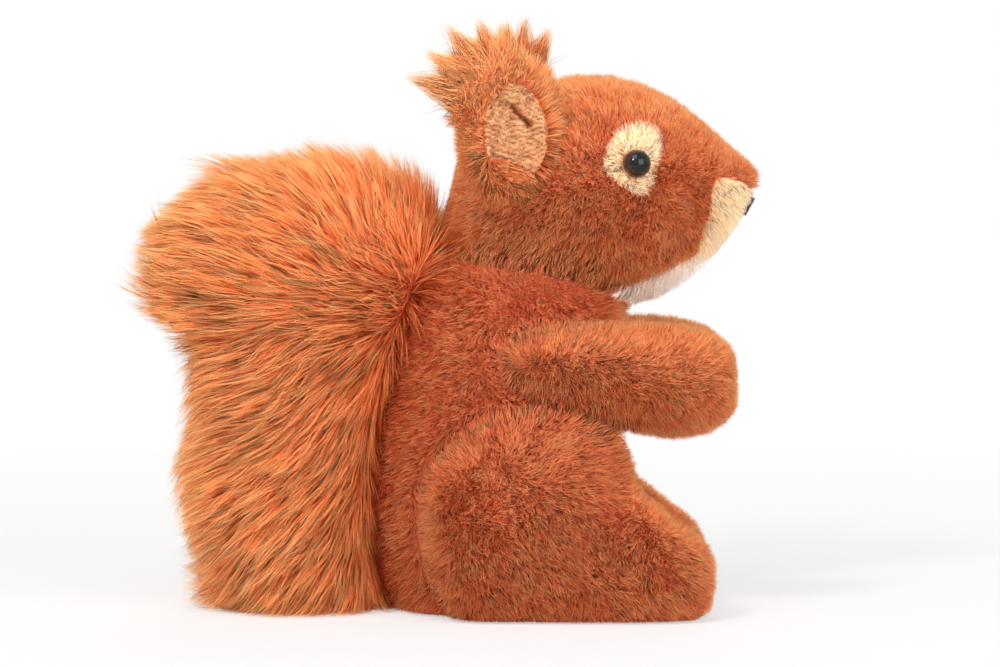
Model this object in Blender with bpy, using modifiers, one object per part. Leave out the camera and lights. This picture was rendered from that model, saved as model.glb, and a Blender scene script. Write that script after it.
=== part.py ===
"""Sitting plush squirrel: stuffed torso, head, arms, legs and tail, let-in pale panels and snap-in eyes.

Metres, +Z up, +X towards the nose. The toy is mirrored about Y = 0 but for the sweep of its ears' locks,
and its right side is at -Y.
The origin lies on the ground under the seat. The outlines are those of the pile, not of the cloth under it.
"""

import math

import bmesh
import bpy
from mathutils import Matrix, Vector
from mathutils.bvhtree import BVHTree

# Making: the gap left between sewn pieces, and the thickness of a let-in panel
SEAM_GAP = 0.0003
PANEL_THICKNESS = 0.0018

# Torso, which sits on the ground and carries every other piece
TORSO_HEIGHT = 0.1175
TORSO_DEPTH = 0.089
TORSO_WIDTH = 0.080
TORSO_BACK = -0.033
SEAT_INSET = 0.038
SEAT_LENGTH = 0.050
SEAT_WIDTH = 0.044
BELLY_WIDTH = 0.036

# Head, which sits over the top of the torso
HEAD_LENGTH = 0.104
HEAD_HEIGHT = 0.078
HEAD_WIDTH = 0.072
HEAD_OVERHANG = 0.0405
NECK_DEPTH = 0.016

# Muzzle and nose, under the tip of the snout
MUZZLE_LENGTH = 0.0175
MUZZLE_HEIGHT = 0.026
MUZZLE_DROP = 0.0015
NOSE_WIDTH = 0.0085
NOSE_HEIGHT = 0.0060
NOSE_DROP = 0.0062
NOSE_RISE = 0.0008

# Eyes, each a dome and stem in one piece, with a locking washer inside the head
EYE_FROM_NOSE = 0.042
EYE_ABOVE_JAW = 0.047
EYE_DIAMETER = 0.0092
EYE_DOME = 0.0040
EYE_RIM = 0.0004
EYE_STEM_DIAMETER = 0.0032
EYE_STEM_LENGTH = 0.0090
WASHER_DIAMETER = 0.0100
WASHER_THICKNESS = 0.0014
WASHER_DEPTH = 0.0050
EYE_PATCH_LENGTH = 0.0200
EYE_PATCH_HEIGHT = 0.0240

# Ears, each a cup with a lining and a fan of long locks
EAR_FROM_NOSE = 0.0810
EAR_ABOVE_JAW = 0.0365
EAR_SINK = 0.004
EAR_HEIGHT = 0.044
EAR_WIDTH = 0.034
EAR_THICKNESS = 0.012
EAR_RIM = 0.0050
EAR_CUP_DEPTH = 0.0050
EAR_LINING_THICKNESS = 0.0022
EAR_TURN = math.radians(14)
EAR_SPLAY = math.radians(3)
EAR_LEAN = math.radians(-4)
TUFT_LENGTH = 0.026
TUFT_LOCK_WIDTH = 0.0115
TUFT_LOCKS = 5
TUFT_FAN = math.radians(50)
RIGHT_TUFT_SWEEP = math.radians(-25)
LEFT_TUFT_SWEEP = math.radians(-5)

# Arms
ARM_LENGTH = 0.078
ARM_OVERHANG = 0.0310
ARM_THICKNESS = 0.0370
ARM_WIDTH = 0.034
ARM_SPACING = 0.064
SHOULDER_HEIGHT = 0.0785

# Legs, each a haunch and a foot in one piece
HAUNCH_LENGTH = 0.071
HAUNCH_HEIGHT = 0.071
HAUNCH_WIDTH = 0.038
FOOT_LENGTH = 0.026
FOOT_HEIGHT = 0.041
FOOT_WIDTH = 0.032
FOOT_OVERHANG = 0.0245
LEG_SPACING = 0.072

# Tail, which stands behind the back in two lobes of combed locks
TAIL_HEIGHT = 0.1545
TAIL_DEPTH = 0.066
TAIL_CURL_DEPTH = 0.078
TAIL_WIDTH = 0.076
LOCK_WIDTH = 0.0165
LOCK_LENGTH = 0.032
LOCK_RISE = 0.0066

# Colours of the cloth and of the hard pieces
RUSSET = (0.42, 0.105, 0.025, 1.0)
AMBER = (0.62, 0.22, 0.055, 1.0)
FAWN = (0.52, 0.27, 0.11, 1.0)
CREAM = (0.78, 0.62, 0.40, 1.0)
WHITE = (0.80, 0.74, 0.66, 1.0)
BLACK = (0.008, 0.007, 0.007, 1.0)
BROWN = (0.03, 0.02, 0.016, 1.0)
IVORY = (0.80, 0.79, 0.76, 1.0)

# Places that follow from the sizes
TORSO_FRONT = TORSO_BACK + TORSO_DEPTH
NOSE_TIP = TORSO_FRONT + HEAD_OVERHANG
HEAD_BACK = NOSE_TIP - HEAD_LENGTH
JAW_LEVEL = TORSO_HEIGHT - NECK_DEPTH
BELLY_HEIGHT = JAW_LEVEL + 0.032 * HEAD_HEIGHT
NOSE_LEVEL = JAW_LEVEL + 0.50 * HEAD_HEIGHT
EAR_SPACING = HEAD_WIDTH - 2 * EAR_SINK
ARM_BACK = TORSO_FRONT + ARM_OVERHANG - ARM_LENGTH
HAUNCH_BACK = TORSO_FRONT + FOOT_OVERHANG - FOOT_LENGTH - HAUNCH_LENGTH
HAUNCH_FRONT = HAUNCH_BACK + HAUNCH_LENGTH

# A length that outreaches the toy, for cutters
BEYOND = 0.4


def clear_scene():
    for obj in list(bpy.data.objects):
        bpy.data.objects.remove(obj)


def make_group(name):
    group = bpy.data.collections.new(name)
    bpy.context.scene.collection.children.link(group)
    return group


def make_material(name, colour, roughness):
    material = bpy.data.materials.new(name)
    material.use_nodes = True
    material.diffuse_color = colour
    shader = material.node_tree.nodes["Principled BSDF"]
    shader.inputs["Base Color"].default_value = colour
    shader.inputs["Roughness"].default_value = roughness
    shader.inputs["Metallic"].default_value = 0.0
    return material


def add_object(name, mesh, group):
    obj = bpy.data.objects.new(name, mesh)
    group.objects.link(obj)
    return obj


def mesh_object(name, shape, group):
    """An object made from a bmesh, which is freed."""
    mesh = bpy.data.meshes.new(name)
    bmesh.ops.recalc_face_normals(shape, faces=shape.faces)
    shape.to_mesh(mesh)
    shape.free()
    return add_object(name, mesh, group)


def settle(obj):
    """Applies the object's modifiers to its mesh."""
    graph = bpy.context.evaluated_depsgraph_get()
    mesh = bpy.data.meshes.new_from_object(obj.evaluated_get(graph))
    obj.modifiers.clear()
    obj.data = mesh
    return obj


def copy_of(obj, name, group):
    return add_object(name, obj.data.copy(), group)


def ring_place(low, high, half_width):
    """Takes a unit circle to the ring through two (x, z) points that is half_width wide on each side."""
    low = Vector((low[0], 0, low[1]))
    high = Vector((high[0], 0, high[1]))
    across = (high - low) / 2
    sideways = Vector((0, half_width, 0))
    along = across.cross(sideways).normalized()
    place = Matrix((sideways, across, along)).transposed().to_4x4()
    place.translation = (low + high) / 2
    return place


def stuffed_form(name, rings, group, sides=8, levels=1):
    """A soft closed form through rings of (low point, high point, half width)."""
    # Subdivision Surface draws a ring in from its corners by this share
    drawn_in = (4 + 2 * math.cos(math.tau / sides)) / 6
    turns = [math.tau * side / sides for side in range(sides)]
    circle = [Vector((math.cos(turn), math.sin(turn), 0)) / drawn_in for turn in turns]
    shape = bmesh.new()
    loops = [[shape.verts.new(ring_place(*ring) @ spot) for spot in circle] for ring in rings]
    for before, after in zip(loops, loops[1:]):
        for side in range(sides):
            beside = (side + 1) % sides
            shape.faces.new((before[side], before[beside], after[beside], after[side]))
    shape.faces.new(loops[0])
    shape.faces.new(loops[-1])
    form = mesh_object(name, shape, group)
    rounding = form.modifiers.new("Rounding", "SUBSURF")
    rounding.levels = levels
    rounding.render_levels = levels
    form.modifiers.new("Facets", "TRIANGULATE")
    return settle(form)


def offset_copy(obj, name, distance, group):
    """A copy whose skin lies outside the object's by distance, or inside it where that is negative."""
    copy = copy_of(obj, name, group)
    skin = copy.modifiers.new("Offset", "DISPLACE")
    skin.strength = distance
    skin.mid_level = 0.0
    return settle(copy)


def cut(obj, tool, operation="DIFFERENCE"):
    modifier = obj.modifiers.new("Cut", "BOOLEAN")
    modifier.operation = operation
    modifier.object = tool
    modifier.solver = "EXACT"
    return settle(obj)


def outline_prism(name, points, half_length, place, group):
    """A prism on a smooth outline of (x, y) points, half_length long both ways along the place's Z."""
    curve = bpy.data.curves.new(name, "CURVE")
    curve.dimensions = "2D"
    curve.fill_mode = "BOTH"
    curve.extrude = half_length
    curve.resolution_u = 2
    spline = curve.splines.new("BEZIER")
    spline.bezier_points.add(len(points) - 1)
    for knot, point in zip(spline.bezier_points, points):
        knot.co = (*point, 0)
        knot.handle_left_type = "AUTO"
        knot.handle_right_type = "AUTO"
    spline.use_cyclic_u = True
    guide = add_object(name + "_outline", curve, group)
    graph = bpy.context.evaluated_depsgraph_get()
    mesh = bpy.data.meshes.new_from_object(guide.evaluated_get(graph))
    bpy.data.objects.remove(guide)
    shape = bmesh.new()
    shape.from_mesh(mesh)
    bmesh.ops.remove_doubles(shape, verts=shape.verts, dist=1e-6)
    bmesh.ops.transform(shape, matrix=place, verts=shape.verts)
    return mesh_object(name, shape, group)


def turned(name, profile, place, group, steps=16):
    """A turned solid: the profile of (radius, height) points goes round the place's Z."""
    shape = bmesh.new()
    points = [shape.verts.new((radius, 0, height)) for radius, height in profile]
    for first, second in zip(points, points[1:]):
        shape.edges.new((first, second))
    mesh = bpy.data.meshes.new(name)
    shape.to_mesh(mesh)
    shape.free()
    obj = add_object(name, mesh, group)
    screw = obj.modifiers.new("Turn", "SCREW")
    screw.steps = steps
    screw.render_steps = steps
    screw.use_merge_vertices = True
    screw.merge_threshold = 1e-5
    settle(obj)
    shape = bmesh.new()
    shape.from_mesh(obj.data)
    bmesh.ops.remove_doubles(shape, verts=shape.verts, dist=1e-6)
    bmesh.ops.recalc_face_normals(shape, faces=shape.faces)
    bmesh.ops.transform(shape, matrix=place, verts=shape.verts)
    shape.to_mesh(obj.data)
    shape.free()
    return obj


def ellipsoid(name, radii, place, group):
    turns = [math.pi * step / 8 for step in range(9)]
    profile = [(math.sin(turn), math.cos(turn)) for turn in turns[1:-1]]
    return turned(name, [(0, 1)] + profile + [(0, -1)], place @ Matrix.Diagonal((*radii, 1)), group, 14)


def box_below_ground(group):
    shape = bmesh.new()
    bmesh.ops.create_cube(shape, size=BEYOND)
    bmesh.ops.translate(shape, vec=(0, 0, -BEYOND / 2), verts=shape.verts)
    return mesh_object("ground_cutter", shape, group)


def surface_place(form, start, direction):
    """The place on a form's skin that a ray meets: its Z points out, and its Y as near up as it can."""
    tree = BVHTree.FromPolygons(
        [corner.co for corner in form.data.vertices],
        [face.vertices for face in form.data.polygons],
    )
    point, outward, _, _ = tree.ray_cast(Vector(start), Vector(direction))
    up = (Vector((0, 0, 1)) - outward * outward.z).normalized()
    place = Matrix((up.cross(outward), up, outward)).transposed().to_4x4()
    place.translation = point
    return place


def mirror_image(obj, name, group):
    """A copy of the object on the other side of Y = 0."""
    shape = bmesh.new()
    shape.from_mesh(obj.data)
    bmesh.ops.scale(shape, vec=(1, -1, 1), verts=shape.verts)
    return mesh_object(name, shape, group)


def let_in(carrier, form, panels, group, tools):
    """Lets panels of (name, outline, rise) into a carrier: skin of the form, a gap from its bed."""
    back = offset_copy(form, carrier.name + "_panel_back", -PANEL_THICKNESS, tools)
    core = offset_copy(form, carrier.name + "_core", -PANEL_THICKNESS - SEAM_GAP, tools)
    made = []
    for name, outline, rise in panels:
        panel = copy_of(offset_copy(form, name + "_front", rise, tools), name, group)
        cut(panel, outline, "INTERSECT")
        cut(panel, back)
        cut(carrier, offset_copy(outline, name + "_bed", SEAM_GAP, tools))
        made.append(panel)
    cut(carrier, core, "UNION")
    return made


def finish(obj, name, material):
    obj.name = name
    obj.data.name = name
    obj.data.materials.clear()
    obj.data.materials.append(material)
    obj.data.shade_smooth()
    obj.data.set_sharp_from_angle(angle=math.radians(50))


def finish_pair(obj, name, material, group):
    """Names the piece as the right one, at -Y, and adds its mirror image as the left one."""
    finish(obj, "right_" + name, material)
    left = mirror_image(obj, "left_" + name, group)
    finish(left, "left_" + name, material)


def torso_rings():
    # Level, back, front and half width, as shares of the torso's height, depth and width
    shares = (
        (-0.090, 0.12, 0.88, 0.40),
        (0.080, 0.02, 0.97, 0.475),
        (0.300, -0.01, 1.01, 0.50),
        (0.590, 0.02, 0.99, 0.48),
        (0.830, 0.12, 1.00, 0.40),
        (0.960, 0.20, 0.90, 0.32),
        (1.040, 0.36, 0.75, 0.20),
    )
    for level, back, front, half in shares:
        height = level * TORSO_HEIGHT
        yield (
            (TORSO_BACK + back * TORSO_DEPTH, height),
            (TORSO_BACK + front * TORSO_DEPTH, height),
            half * TORSO_WIDTH,
        )


def head_rings():
    # Low point, high point and half width, as shares of the head's length, height and width
    shares = (
        (-0.015, 0.310, 0.020, 0.590, 0.17),
        (0.015, 0.090, 0.110, 0.820, 0.39),
        (0.265, 0.005, 0.305, 0.975, 0.50),
        (0.490, -0.015, 0.515, 1.000, 0.49),
        (0.680, 0.010, 0.715, 0.905, 0.40),
        (0.795, 0.135, 0.860, 0.750, 0.27),
        (0.885, 0.265, 0.965, 0.620, 0.17),
        (0.955, 0.410, 1.012, 0.550, 0.08),
    )
    for low_x, low_z, high_x, high_z, half in shares:
        yield (
            (HEAD_BACK + low_x * HEAD_LENGTH, JAW_LEVEL + low_z * HEAD_HEIGHT),
            (HEAD_BACK + high_x * HEAD_LENGTH, JAW_LEVEL + high_z * HEAD_HEIGHT),
            half * HEAD_WIDTH,
        )


def arm_rings():
    # Distance along the arm, underside, upper side and half width, as shares of its own sizes
    shares = (
        (-0.01, -0.02, 0.32, 0.22),
        (0.12, -0.20, 0.46, 0.42),
        (0.40, -0.38, 0.51, 0.50),
        (0.76, -0.52, 0.50, 0.495),
        (0.95, -0.42, 0.39, 0.40),
        (1.01, -0.22, 0.22, 0.22),
    )
    for along, under, over, half in shares:
        x = ARM_BACK + along * ARM_LENGTH
        yield (
            (x, SHOULDER_HEIGHT + under * ARM_THICKNESS),
            (x, SHOULDER_HEIGHT + over * ARM_THICKNESS),
            half * ARM_WIDTH,
        )


def leg_rings():
    # Low point, high point and half width, as shares of the haunch's sizes, then the foot's
    haunch = (
        (-0.01, 0.30, -0.01, 0.62, 0.25),
        (0.10, 0.06, 0.12, 0.80, 0.42),
        (0.26, -0.06, 0.38, 0.99, 0.50),
        (0.38, -0.07, 0.70, 1.02, 0.50),
        (0.46, -0.07, 0.92, 0.87, 0.46),
        (0.52, -0.09, 0.995, 0.60, 0.37),
    )
    foot = (
        (-0.95, -0.14, 0.30, 1.06, 0.51),
        (0.42, -0.13, 0.76, 0.84, 0.46),
        (0.98, 0.09, 1.04, 0.49, 0.24),
    )
    parts = (
        (haunch, HAUNCH_BACK, HAUNCH_LENGTH, HAUNCH_HEIGHT, HAUNCH_WIDTH),
        (foot, HAUNCH_FRONT, FOOT_LENGTH, FOOT_HEIGHT, FOOT_WIDTH),
    )
    for shares, start, length, height, width in parts:
        for low_x, low_z, high_x, high_z, half in shares:
            low = (start + low_x * length, low_z * height)
            high = (start + high_x * length, high_z * height)
            yield low, high, half * width


def tail_rings():
    # Reach behind the back and its level, overlap with the back or the head and its level, and half width
    lower = ((0.66, -0.04, 0.13, -0.04, 0.36), (0.92, 0.08, 0.09, 0.08, 0.45))
    lower += ((1.03, 0.33, 0.08, 0.33, 0.49), (0.87, 0.55, 0.24, 0.56, 0.46))
    curl = ((1.01, 0.635, 0.01, 0.69, 0.50), (1.02, 0.78, 0.04, 0.81, 0.50))
    curl += ((0.83, 0.935, -0.07, 0.90, 0.44), (0.44, 1.01, -0.24, 0.98, 0.26))
    sets = ((TAIL_DEPTH, TORSO_BACK, lower), (TAIL_CURL_DEPTH, HEAD_BACK, curl))
    for depth, front, rings in sets:
        for reach, outer, overlap, inner, half in rings:
            yield (
                (TORSO_BACK - reach * depth, outer * TAIL_HEIGHT),
                (front + overlap * depth, inner * TAIL_HEIGHT),
                half * TAIL_WIDTH,
            )


def comb_locks(tail):
    """Carves the tail's skin into locks that point away from the middle of the back, row behind row."""
    root = Vector((TORSO_BACK + 0.2 * TAIL_DEPTH, 0, 0.60 * TAIL_HEIGHT))
    lifted = []
    for corner in tail.data.vertices:
        reach = corner.co - root
        outward = reach.normalized()
        radius = math.hypot(reach.x, reach.z)
        turn = math.atan2(reach.z, -reach.x)
        row = reach.length / LOCK_LENGTH + 0.2 * math.sin(3 * turn)
        shift = 0.5 * math.floor(row) + 0.18 * math.sin(radius / LOCK_WIDTH)
        across = 0.5 + 0.5 * math.cos(math.tau * (turn * TAIL_DEPTH / LOCK_WIDTH + shift))
        beside = 0.6 + 0.4 * math.cos(math.tau * reach.y / (1.5 * LOCK_WIDTH) + math.pi * math.floor(row))
        slope = row - math.floor(row)
        fade = min(1.0, radius / LOCK_LENGTH)
        rise = LOCK_RISE * fade * (across * beside * (0.4 + 0.6 * slope) - 0.35)
        lifted.append(corner.co + rise * (corner.normal + outward).normalized())
    for corner, place in zip(tail.data.vertices, lifted):
        corner.co = place
    return tail


def make_torso(group, tools, ground):
    form = stuffed_form("torso_form", torso_rings(), tools)
    torso = copy_of(form, "torso", group)
    front = Matrix.Rotation(math.pi / 2, 4, "Y")
    front.translation = (TORSO_FRONT, 0, BELLY_HEIGHT / 2)
    half_height = 0.47 * BELLY_HEIGHT
    half_width = 0.5 * BELLY_WIDTH
    waist = ((1.0, 0.0), (0.8, 0.6), (0.4, 0.85), (0.0, 0.9), (-0.5, 1.0), (-0.9, 0.62))
    flank = [(-rise * half_height, side * half_width) for rise, side in waist]
    other = [(x, -y) for x, y in reversed(flank[1:])]
    foot = [(1.04 * half_height, 0.0)]
    outline = outline_prism("belly_outline", flank + foot + other, TORSO_DEPTH / 3, front, tools)
    (belly,) = let_in(torso, form, [("belly_panel", outline, 0)], group, tools)
    seat_points = [
        (0.5 * SEAT_LENGTH * math.cos(turn), 0.5 * SEAT_WIDTH * math.sin(turn))
        for turn in (math.tau * step / 8 for step in range(8))
    ]
    seat_place = Matrix.Translation((TORSO_BACK + SEAT_INSET, 0, 0))
    seat = outline_prism("seat_panel", seat_points, PANEL_THICKNESS, seat_place, group)
    cut(torso, offset_copy(seat, "seat_bed", SEAM_GAP, tools))
    for piece in (torso, belly, seat):
        cut(piece, ground)
    return form, torso, belly, seat


def throat_outline(tools):
    cheek_edge = ((0.36, -0.08), (0.47, 0.03), (0.62, 0.10), (0.78, 0.19), (0.85, 0.25))
    below_jaw = ((0.93, 0.12), (0.82, -0.20), (0.50, -0.25))
    points = [
        (HEAD_BACK + along * HEAD_LENGTH, JAW_LEVEL + rise * HEAD_HEIGHT)
        for along, rise in cheek_edge + below_jaw
    ]
    side = Matrix.Rotation(math.pi / 2, 4, "X")
    return outline_prism("throat_outline", points, HEAD_WIDTH, side, tools)


def muzzle_outline(tools):
    lips = ((-0.28, 0.95), (0.05, 1.00), (0.40, 0.86), (0.60, 0.55), (0.50, 0.0), (-0.10, -0.08))
    lips += ((-0.52, -0.02), (-0.55, 0.16), (-0.42, 0.42), (-0.34, 0.72))
    middle = NOSE_TIP - 0.55 * MUZZLE_LENGTH
    level = NOSE_LEVEL - 0.80 * MUZZLE_HEIGHT - MUZZLE_DROP
    points = [(middle + x * MUZZLE_LENGTH, level + z * MUZZLE_HEIGHT) for x, z in lips]
    side = Matrix.Rotation(math.pi / 2, 4, "X")
    return outline_prism("muzzle_outline", points, HEAD_WIDTH, side, tools)


def nose_outline(tools, head_form):
    start = (NOSE_TIP + BEYOND, 0, NOSE_LEVEL - NOSE_DROP)
    place = surface_place(head_form, start, (-1, 0, 0))
    shield = ((0, -0.52), (0.42, 0.02), (0.40, 0.44), (0, 0.50), (-0.40, 0.44), (-0.42, 0.02))
    points = [(across * NOSE_WIDTH, rise * NOSE_HEIGHT) for across, rise in shield]
    return outline_prism("nose_outline", points, 2 * PANEL_THICKNESS, place, tools)


def eye_patch_outline(tools, eye_place):
    teardrop = ((-0.50, 0.04), (-0.27, 0.43), (0.10, 0.58), (0.42, 0.52), (0.47, 0.30))
    teardrop += ((0.35, 0.0), (0.12, -0.42), (-0.20, -0.30), (-0.46, -0.12))
    points = [(x * EYE_PATCH_LENGTH, y * EYE_PATCH_HEIGHT) for x, y in teardrop]
    return outline_prism("eye_outline", points, WASHER_DEPTH, eye_place, tools)


def eye_profile():
    """Radius and height, from the top of the dome to the end of the stem."""
    radius = EYE_DIAMETER / 2
    stem = EYE_STEM_DIAMETER / 2
    turns = [math.pi / 2 * step / 4 for step in range(1, 5)]
    dome = [(radius * math.sin(turn), EYE_DOME * math.cos(turn)) for turn in turns]
    rim = [(radius, -EYE_RIM), (stem, -EYE_RIM)]
    return [(0, EYE_DOME)] + dome + rim + [(stem, -EYE_STEM_LENGTH), (0, -EYE_STEM_LENGTH)]


def washer_profile():
    bore = EYE_STEM_DIAMETER / 2 + SEAM_GAP
    outer = WASHER_DIAMETER / 2
    bottom = -WASHER_DEPTH - WASHER_THICKNESS
    section = [(bore, -WASHER_DEPTH), (outer, -WASHER_DEPTH), (outer, bottom), (bore, bottom)]
    return section + section[:1]


def eye_drill_profile():
    """The room that the eye and its washer take, a gap larger all round."""
    socket = EYE_DIAMETER / 2 + SEAM_GAP
    bore = EYE_STEM_DIAMETER / 2 + 2 * SEAM_GAP
    pocket = WASHER_DIAMETER / 2 + SEAM_GAP
    shelf = -EYE_RIM - SEAM_GAP
    top = -WASHER_DEPTH + SEAM_GAP
    bottom = -WASHER_DEPTH - WASHER_THICKNESS - SEAM_GAP
    end = -EYE_STEM_LENGTH - SEAM_GAP
    mouth = [(0, EYE_DOME), (socket, EYE_DOME), (socket, shelf), (bore, shelf), (bore, top)]
    return mouth + [(pocket, top), (pocket, bottom), (bore, bottom), (bore, end), (0, end)]


def make_head(group, tools, torso_form, materials):
    russet, white, cream, brown, black, ivory = materials
    form = stuffed_form("head_form", head_rings(), tools)
    head = copy_of(form, "head", group)
    neck = offset_copy(torso_form, "neck", SEAM_GAP, tools)
    throat = throat_outline(tools)
    muzzle = muzzle_outline(tools)
    nose = nose_outline(tools, form)
    cut(throat, neck)
    cut(throat, offset_copy(muzzle, "muzzle_clear", SEAM_GAP, tools))
    cut(muzzle, offset_copy(nose, "nose_clear", SEAM_GAP, tools))
    eye_start = (NOSE_TIP - EYE_FROM_NOSE, -BEYOND, JAW_LEVEL + EYE_ABOVE_JAW)
    eye_place = surface_place(form, eye_start, (0, 1, 0))
    right_patch = eye_patch_outline(tools, eye_place)
    left_patch = mirror_image(right_patch, "left_eye_outline", tools)
    panels = [
        ("throat_panel", throat, 0),
        ("muzzle", muzzle, 0),
        ("nose", nose, NOSE_RISE),
        ("right_eye_patch", right_patch, 0),
        ("left_eye_patch", left_patch, 0),
    ]
    cloths = (white, cream, brown, cream, cream)
    made = let_in(head, form, panels, group, tools)
    cut(head, neck)
    drill = turned("right_eye_drill", eye_drill_profile(), eye_place, tools)
    left_drill = mirror_image(drill, "left_eye_drill", tools)
    for piece, tool in ((made[3], drill), (head, drill), (made[4], left_drill), (head, left_drill)):
        cut(piece, tool)
    for piece, panel, cloth in zip(made, panels, cloths):
        finish(piece, panel[0], cloth)
    finish(head, "head", russet)
    finish_pair(turned("eye", eye_profile(), eye_place, group), "eye", black, group)
    finish_pair(turned("eye_washer", washer_profile(), eye_place, group), "eye_washer", ivory, group)
    return form


def ear_place():
    x = NOSE_TIP - EAR_FROM_NOSE
    place = Matrix.Translation((x, -EAR_SPACING / 2, JAW_LEVEL + EAR_ABOVE_JAW))
    place = place @ Matrix.Rotation(EAR_TURN, 4, "Z") @ Matrix.Rotation(EAR_SPLAY, 4, "X")
    return place @ Matrix.Rotation(EAR_LEAN, 4, "Y")


def tuft_lock(index, sweep, group):
    """One pointed lock of an ear's fan, bent on towards its tip. The fan stands on the side it sweeps to."""
    share = index / (TUFT_LOCKS - 1) - 0.5
    swing = sweep + TUFT_FAN * share
    length = TUFT_LENGTH * (1 - 0.5 * share * share)
    aside = 0.24 * EAR_WIDTH * (share + 2.2 * math.sin(sweep + math.radians(4)))
    foot = Vector((aside, 0, (0.66 + 0.12 * share) * EAR_HEIGHT))
    rings = []
    for reach, width in ((0.0, 0.95), (0.40, 1.0), (0.75, 0.60), (1.0, 0.10)):
        bend = swing + 0.25 * share * reach
        along = Vector((math.sin(bend), 0, math.cos(bend)))
        across = Vector((along.z, 0, -along.x)) * (width * TUFT_LOCK_WIDTH / 2)
        middle = foot + along * (reach * length)
        low = middle - across
        high = middle + across
        rings.append(((low.x, low.z), (high.x, high.z), 0.34 * width * TUFT_LOCK_WIDTH))
    return stuffed_form("tuft_lock", rings, group, sides=6, levels=0)


def make_ears(group, tools, head_form, materials):
    amber, fawn = materials
    shares = ((-0.06, 0.22, 0.30), (0.12, 0.44, 0.50), (0.42, 0.52, 0.52), (0.74, 0.46, 0.44))
    shares += ((0.94, 0.28, 0.32), (1.03, 0.12, 0.16))
    rings = [
        (
            (-half * EAR_WIDTH, rise * EAR_HEIGHT),
            (half * EAR_WIDTH, rise * EAR_HEIGHT),
            depth * EAR_THICKNESS,
        )
        for rise, half, depth in shares
    ]
    form = stuffed_form("ear_form", rings, tools)
    skull = offset_copy(head_form, "skull", SEAM_GAP, tools)
    cup_radii = Vector((EAR_WIDTH / 2 - EAR_RIM, EAR_CUP_DEPTH, EAR_HEIGHT / 2 - EAR_RIM))
    cup_middle = Matrix.Translation((0, -EAR_THICKNESS / 2, 0.48 * EAR_HEIGHT))
    bed = ellipsoid("ear_bed", cup_radii, cup_middle, tools)
    lining_radii = cup_radii - Vector((SEAM_GAP, SEAM_GAP, SEAM_GAP))
    lining = ellipsoid("ear_lining", lining_radii, cup_middle, group)
    hollow_radii = Vector((cup_radii.x, EAR_CUP_DEPTH - EAR_LINING_THICKNESS, cup_radii.z))
    hollow = ellipsoid("ear_hollow", hollow_radii, cup_middle, tools)
    cut(lining, form, "INTERSECT")
    cut(lining, hollow)
    ears = []
    for sweep in (RIGHT_TUFT_SWEEP, LEFT_TUFT_SWEEP):
        ear = copy_of(form, "ear", group)
        for index in range(TUFT_LOCKS):
            cut(ear, tuft_lock(index, sweep, tools), "UNION")
        cut(ear, bed)
        ears.append(ear)
    for piece in (*ears, lining):
        piece.data.transform(ear_place())
        cut(piece, skull)
    right_ear, left_ear = ears
    finish(right_ear, "right_ear", amber)
    finish(mirror_image(left_ear, "left_ear", group), "left_ear", amber)
    bpy.data.objects.remove(left_ear)
    finish_pair(lining, "ear_lining", fawn, group)


def moved_form(form, offset):
    form.data.transform(Matrix.Translation((0, -offset, 0)))
    return form


def make_all():
    clear_scene()
    parts = make_group("plush_squirrel")
    tools = make_group("cutters")
    ground = box_below_ground(tools)
    russet = make_material("russet_plush", RUSSET, 0.95)
    amber = make_material("amber_plush", AMBER, 0.95)
    fawn = make_material("fawn_curl", FAWN, 0.95)
    cream = make_material("cream_plush", CREAM, 0.95)
    white = make_material("white_plush", WHITE, 0.95)
    black = make_material("black_gloss", BLACK, 0.08)
    brown = make_material("brown_thread", BROWN, 0.5)
    ivory = make_material("white_plastic", IVORY, 0.4)
    long_pile = make_material("long_pile_plush", AMBER, 0.95)

    torso_form, torso, belly, seat = make_torso(parts, tools, ground)
    finish(torso, "torso", russet)
    finish(belly, "belly_panel", white)
    finish(seat, "seat_panel", white)

    head_form = make_head(parts, tools, torso_form, (russet, white, cream, brown, black, ivory))
    make_ears(parts, tools, head_form, (amber, fawn))

    body_clear = offset_copy(torso_form, "body_clear", SEAM_GAP, tools)
    head_clear = offset_copy(head_form, "head_clear", SEAM_GAP, tools)
    arm_form = moved_form(stuffed_form("arm_form", arm_rings(), tools), ARM_SPACING / 2)
    arm = copy_of(arm_form, "arm", parts)
    cut(arm, body_clear)
    cut(arm, head_clear)
    finish_pair(arm, "arm", russet, parts)

    leg_form = moved_form(stuffed_form("leg_form", leg_rings(), tools), LEG_SPACING / 2)
    leg = copy_of(leg_form, "leg", parts)
    cut(leg, body_clear)
    cut(leg, offset_copy(arm_form, "arm_clear", SEAM_GAP, tools))
    cut(leg, ground)
    finish_pair(leg, "leg", russet, parts)

    tail = comb_locks(stuffed_form("tail", tail_rings(), parts, levels=2))
    cut(tail, body_clear)
    cut(tail, head_clear)
    cut(tail, ground)
    finish(tail, "tail", long_pile)

    tools.hide_render = True
    for tool in tools.objects:
        tool.hide_render = True
        tool.display_type = "WIRE"


make_all()
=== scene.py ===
"""Sitting plush squirrel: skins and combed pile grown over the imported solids, domed eyes, a stitched nose
and a pale studio. Metres, in the row frame: +X to the nose, the toy's right side at -Y, +Z up."""

import math

import bmesh
import bpy
import numpy as np
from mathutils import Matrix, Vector
from mathutils.bvhtree import BVHTree
from mathutils.kdtree import KDTree


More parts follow.
